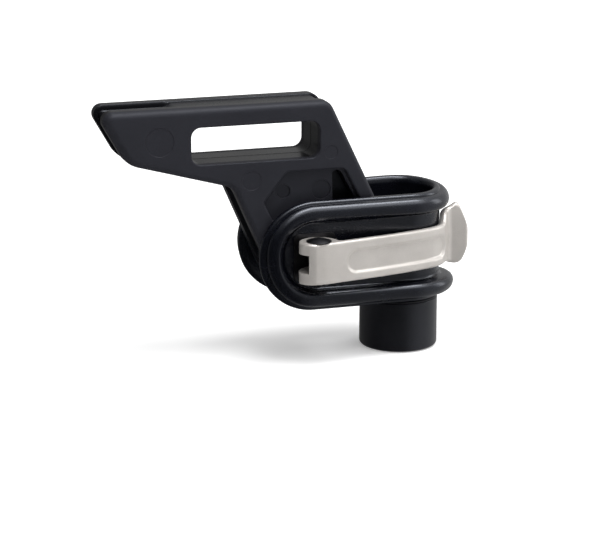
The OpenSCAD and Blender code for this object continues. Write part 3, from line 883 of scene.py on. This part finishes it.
lever = dict(
    low=30.95, high=45.65, bladeT=2.6, bladeR=17.5, wrap=62.0,
    camR=6.8, camC=(pinX, pinY + 0.5), headR=5.25, frontY=-26.29, edge=1.15,
    flareR=2.5, turn=70.0, tabLen=4.75,
    slotH=6.5, panelDepth=0.95, panelStart=-28.2, panelEnd=14.2, panelTop=3.0, panelLow=2.4, panelSoft=1.45,
    topLine=((12.0, 45.65), (13.0, 46.3), (13.7, 47.8), (14.4, 49.0), (15.5, 49.6), (17.2, 50.2),
             (18.6, 51.2), (19.4, 51.6), (20.3, 51.3), (21.2, 50.0), (22.2, 47.6), (23.2, 44.9),
             (24.1, 41.6), (24.5, 40.5)),
    lowLine=((13.0, 30.95), (15.5, 30.5), (17.0, 29.9), (19.0, 29.55), (20.4, 29.7), (21.6, 30.6),
             (22.6, 32.6), (23.5, 35.2), (24.2, 38.4), (24.5, 39.4)),
    rows=40, lean=1.5, leanFrom=41.0,
)


def along(line, x):
    if x <= line[0][0]:
        return line[0][1]
    for (x0, y0), (x1, y1) in zip(line, line[1:]):
        if x <= x1:
            share = (x - x0) / (x1 - x0)
            return y0 + (y1 - y0) * share
    return line[-1][1]


def resample(points, count):
    # the polyline through points, cut into equal steps
    lengths = [0.0]
    for a, b in zip(points, points[1:]):
        lengths.append(lengths[-1] + (Vector(b) - Vector(a)).length)
    result = []
    spot = 0
    for step in range(count):
        target = lengths[-1] * step / (count - 1)
        while spot < len(lengths) - 2 and lengths[spot + 1] < target:
            spot += 1
        span = lengths[spot + 1] - lengths[spot]
        share = (target - lengths[spot]) / span if span > 0 else 0.0
        result.append(Vector(points[spot]).lerp(Vector(points[spot + 1]), share))
    return result


def smoothCurve(points, steps):
    # a smooth curve through the points
    last = len(points) - 1
    spots = [Vector(point) for point in points]
    result = []
    for i in range(last):
        p0, p1, p2, p3 = spots[max(0, i - 1)], spots[i], spots[i + 1], spots[min(last, i + 2)]
        for k in range(steps):
            t = k / steps
            square = (2 * p0 - 5 * p1 + 4 * p2 - p3) * t * t
            cube = (3 * p1 - p0 - 3 * p2 + p3) * t ** 3
            result.append(0.5 * (2 * p1 + (p2 - p0) * t + square + cube))
    return result + [spots[-1]]


def leftOf(line, distance):
    last = len(line) - 1
    result = []
    for i, point in enumerate(line):
        way = unit(line[min(last, i + 1)] - line[max(0, i - 1)])
        result.append(point + Vector((-way.y, way.x)) * distance)
    return result


def leverRails():
    # the outer and inner faces in plan, as two lists of paired points
    v = lever
    cx, cy = v["camC"]
    r = v["bladeR"]
    wrap = math.radians(v["wrap"])
    ray = lambda degrees: (r * math.sin(math.radians(degrees)), -r * math.cos(math.radians(degrees)))
    line = smoothCurve([(pinX - 1.9, v["frontY"] - 0.08), (pinX + 1.4, v["frontY"] + 0.12), (-31.8, -25.44),
                        (-28.5, -24.75), (-22.8, -23.65), (-15.0, -22.1), (-7.0, -20.3), (1.3, -18.05),
                        ray(24), ray(32), ray(41), ray(50), ray(v["wrap"])], 12)
    centre = Vector((math.sin(wrap), -math.cos(wrap))) * (r + v["flareR"])
    for i in range(1, 17):
        angle = wrap + math.pi / 2 - math.radians(v["turn"]) * i / 16
        line.append(centre + Vector((math.cos(angle), math.sin(angle))) * v["flareR"])
    way = Vector((math.sin(angle), -math.cos(angle)))
    corner = line[-1]
    line += [corner + way * v["tabLen"] * i / 18 for i in range(1, 19)]
    side = leftOf(line, v["bladeT"])
    first = next(i for i, point in enumerate(side) if point.x > pinX + 8.3)
    run = resample(line[first:], 190)
    outer = run
    inner = leftOf(run, v["bladeT"])
    # the cam's end: round the front on one rail, round the back on the other
    front = [(x, y) for x, y, _ in arcPoints(cx - 1.6, cy + 0.55, v["headR"], 183, 262, 26)]
    front += [tuple(point) for point in line[:first + 1]]
    back = [(x, y) for x, y, _ in arcPoints(cx, cy, v["camR"], 177, 3, 40)]
    back += [(-30.45, -21.3), (-30.0, -21.8), (-29.5, -22.0)]
    back.append(tuple(side[first]))
    count = 56
    outer = resample(front, count)[:-1] + outer
    inner = resample(back, count)[:-1] + inner
    # the tab's end is drawn in to a rounded edge
    middle = (outer[-1] + inner[-1]) / 2
    across = unit(outer[-1] - inner[-1]) * v["bladeT"] / 2
    for reach, keep in ((0.35, 0.94), (0.65, 0.78), (0.85, 0.52), (0.93, 0.25)):
        outer.append(middle + way * reach + across * keep)
        inner.append(middle + way * reach - across * keep)
    return outer, inner


def buildLever():
    v = lever
    bm = bmesh.new()
    outer, inner = leverRails()
    runs = [0.0]
    for a, b in zip(outer, outer[1:]):
        runs.append(runs[-1] + (b - a).length)
    start = min((run for run, point in zip(runs, outer) if point.x >= v["panelStart"]))
    end = max(run for run, point in zip(runs, outer) if point.x <= v["panelEnd"])
    zLow, zHigh = v["low"] + v["panelLow"], v["high"] - v["panelTop"]
    half = (zHigh - zLow) / 2
    rings = []
    for index, (f, b) in enumerate(zip(outer, inner)):
        across = b - f
        thick = across.length
        across = across / thick
        edge = min(v["edge"], 0.46 * thick)
        x = (f.x + b.x) / 2
        high, low = along(v["topLine"], x), along(v["lowLine"], x)
        edge = min(edge, (high - low) * 0.45)
        ring = []

        lean = v["lean"] * smooth(x, 12.0, 17.0)

        def add(shift, z):
            point = f + across * (shift + lean * max(0.0, (z - v["leanFrom"]) / 10) ** 1.6)
            ring.append(bm.verts.new((point.x, point.y, z)))

        for row in range(v["rows"] + 1):
            z = low + edge + (high - low - 2 * edge) * row / v["rows"]
            past = max(0.0, start + half - runs[index], runs[index] - end + half)
            inside = half - math.hypot(past, z - (zLow + zHigh) / 2)
            add(v["panelDepth"] * smooth(inside, 0.0, v["panelSoft"]), z)
        for step in range(1, 6):
            angle = math.pi / 2 * step / 5
            add(edge * (1 - math.cos(angle)), high - edge + edge * math.sin(angle))
        for step in range(6):
            angle = math.pi / 2 * step / 5
            add(thick - edge + edge * math.sin(angle), high - edge + edge * math.cos(angle))
        for step in range(6):
            angle = math.pi / 2 * step / 5
            add(thick - edge + edge * math.cos(angle), low + edge - edge * math.sin(angle))
        for step in range(5):
            angle = math.pi / 2 * step / 5
            add(edge - edge * math.sin(angle), low + edge - edge * math.cos(angle))
        rings.append(ring)
    skin(bm, rings)
    bm.faces.new(rings[0])
    bm.faces.new(list(reversed(rings[-1])))
    middle, slot = pivotZ, v["slotH"] / 2
    tools = [boxTool((pinX - 9, pinY - 3.15, middle - slot), (pivotX + 3.3, pinY + 12.5, middle + slot)),
             rodTool(3.6, (pinX, pinY, middle), -slot, slot, "Z"),
             boxTool((pinX - 13, pinY - 9, middle - slot), (pinX - 4.6, pinY + 7, middle + slot)),
             rodTool(2.02, (pinX, pinY, middle), -9, 9, "Z", 48)]
    bm = combine(bm, tools)
    return finishPiece("camLever", bm, ["lever"], "leverPlate", 32)


def buildPin():
    low, high = sizes("lever_pin")
    top = lever["high"]
    headR, headH = 4.4, high[2] - top
    domeR = (headR ** 2 + headH ** 2) / (2 * headH)
    half = math.asin((headR - 0.25) / domeR)
    path = [(0, low[2]), (1.75, low[2]), (2.0, low[2] + 0.25), (2.0, top), (headR - 0.15, top),
            (headR, top + 0.08), (headR, top + 0.2)]
    for step in range(13):
        angle = half * (1 - step / 12)
        path.append((domeR * math.sin(angle), top + headH - domeR + domeR * math.cos(angle)))
    bm = bmesh.new()
    lathe(bm, path, (pinX, pinY, 0), steps=80)
    finishPiece("leverPin", bm, ["lever_pin"], "darkSteel")
    low, high = sizes("lever_pin_clip")
    clip = bmesh.new()
    outline = [[x, y, 0] for x, y, _ in arcPoints(pinX, pinY, 3.3, -90 + 19, 270 - 19, 60)]
    outline += [[x, y, 0] for x, y, _ in arcPoints(pinX, pinY, 2.02, 270 - 33, -90 + 33, 40)]
    plate(clip, outline, [], low[2], high[2], 0.1)
    finishPiece("pinClip", clip, ["lever_pin_clip"], "darkSteel")


buildLever()
buildPin()


# floor, light and air

studio = dict(floorHalf=3.0, glowFrom=0.12, glowTo=0.7, glowNear=0.32, glowFar=0.75,
              airLow=0.03, airBack=0.10, airRight=0.55, airTop=0.42, aim=(-0.04, 0, 0.045))

floorMesh = bmesh.new()
bmesh.ops.create_grid(floorMesh, x_segments=2, y_segments=2, size=studio["floorHalf"])
floorData = bpy.data.meshes.new("paperFloor")
floorMesh.to_mesh(floorData)
floorMesh.free()
floor = bpy.data.objects.new("paperFloor", floorData)
floor.location = (0, 0, -0.0002)
bpy.context.collection.objects.link(floor)
paper = Finish("paperSweep", Roughness=0.9, Specular_IOR_Level=0.1)
paperGrain = paper.noise(900.0, 2.0, 0.6)
paper.feed("Base Color", paper.blend(paperGrain, (0.92, 0.92, 0.92), (0.95, 0.95, 0.95)))
paper.feed("Normal", paper.bump(paperGrain, 0.00001))
away = paper.make("ShaderNodeVectorMath", dict(operation="LENGTH"), {0: paper.place * (1.0, 1.0, 0.0)}, 1)
glow = paper.ramp(away, studio["glowFrom"], studio["glowTo"], studio["glowNear"], studio["glowFar"])
paper.feed("Emission Color", paper.blend(glow, (0.0, 0.0, 0.0), (1.0, 1.0, 1.0)))
paper.shader.inputs["Emission Strength"].default_value = 1.0
floorData.materials.append(paper.material)
floor.visible_glossy = False  # the gloss sees the studio's dark lower half, not the sheet

air = bpy.data.worlds.new("studioAir")
air.use_nodes = True
sky = NodeMaker(air.node_tree)
way = sky.make("ShaderNodeTexCoord", {}, {}, "Generated")
overhead = sky.ramp(sky.along(way, "Z"), 0.35, 0.85, studio["airLow"], studio["airTop"])
behind = sky.ramp(sky.along(way, "Y"), -0.2, 0.7, 0.0, studio["airBack"])
right = sky.ramp(sky.along(way, "X"), -0.15, 0.8, 0.0, studio["airRight"])
seen = sky.make("ShaderNodeLightPath", {}, {}, "Is Camera Ray")  # the air itself shows as plain white
power = sky.make("ShaderNodeMath", dict(operation="MAXIMUM"), {0: overhead + behind + right, 1: seen})
backdrop = sky.tree.nodes["Background"]
sky.tree.links.new(power.socket, backdrop.inputs["Strength"])
backdrop.inputs["Color"].default_value = (1, 1, 1, 1)
bpy.context.scene.world = air

lamps = (
    ("topSoftbox", (0.1, -0.5, 0.8), (1.1, 0.5), 3.4),
    ("topStrip", (0.08, -0.2, 0.9), (0.7, 0.26), 6.5),
    ("rightSoftbox", (0.8, -0.1, 0.35), (0.25, 0.5), 1.2),
)
for name, place, (wide, deep), power in lamps:
    data = bpy.data.lights.new(name, "AREA")
    data.shape = "RECTANGLE"
    data.size = wide
    data.size_y = deep
    data.energy = power
    lamp = bpy.data.objects.new(name, data)
    lamp.location = place
    lamp.rotation_euler = (Vector(studio["aim"]) - Vector(place)).to_track_quat("-Z", "Y").to_euler()
    bpy.context.collection.objects.link(lamp)

bpy.context.scene.view_settings.view_transform = "Standard"
bpy.context.scene.view_settings.look = "None"

bpy.context.view_layer.update()
